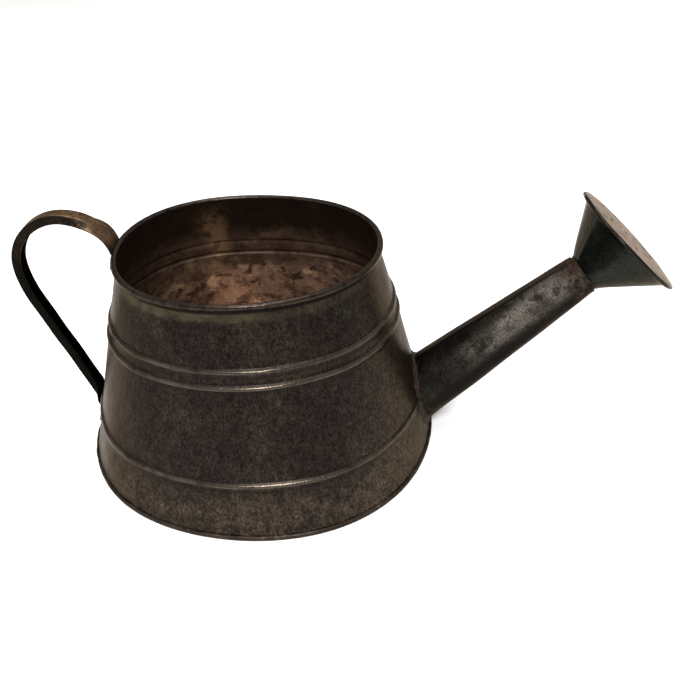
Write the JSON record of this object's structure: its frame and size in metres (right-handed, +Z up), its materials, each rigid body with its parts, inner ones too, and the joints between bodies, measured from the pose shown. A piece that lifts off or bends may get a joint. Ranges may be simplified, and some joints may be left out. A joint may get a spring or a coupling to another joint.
{
  "type": "watering can",
  "caption": "Squat aged-steel watering can: tapered round body with rolled wired rim, folded strap handle, straight tapered spout and pull-off round sprinkling rose.",
  "frame": {"origin": "centre of the base pan's flat underside, on the surface the can stands on", "axes": "+Z up along the body's axis, +X towards the spout, -X towards the handle, +Y to the left of the spout"},
  "size_m": [0.3996, 0.2276, 0.1601],
  "materials": {
    "body_steel": "dark aged galvanised sheet, streaked, satin",
    "pan_steel": "dark aged galvanised sheet, satin",
    "rim_wire_steel": "drawn steel wire",
    "spout_steel": "dark aged galvanised sheet, mottled, satin",
    "handle_steel": "dark aged steel strip, brown where it is rubbed",
    "rose_steel": "dark green-black aged sheet, smoother",
    "rose_face_steel": "dull tan-brown aged sheet",
    "solder": "dull rusty solder"
  },
  "bodies": {
    "can": {"body_wall": "body_steel", "rim_wire": "rim_wire_steel", "base_pan": "pan_steel", "base_solder": "solder", "spout_tube": "spout_steel", "spout_solder": "solder", "handle_strap": "handle_steel", "handle_rim_solder": "solder", "handle_foot_solder": "solder"},
    "rose": {"rose_neck": "spout_steel", "rose_cone": "rose_steel", "rose_face": "rose_face_steel", "rose_solder": "solder"}
  },
  "joints": [
    {"name": "rose_pull_off", "type": "slide", "parent": "can", "child": "rose", "axis": [0.7615, 0, 0.6481], "range_m": [0, 0.018]}
  ]
}
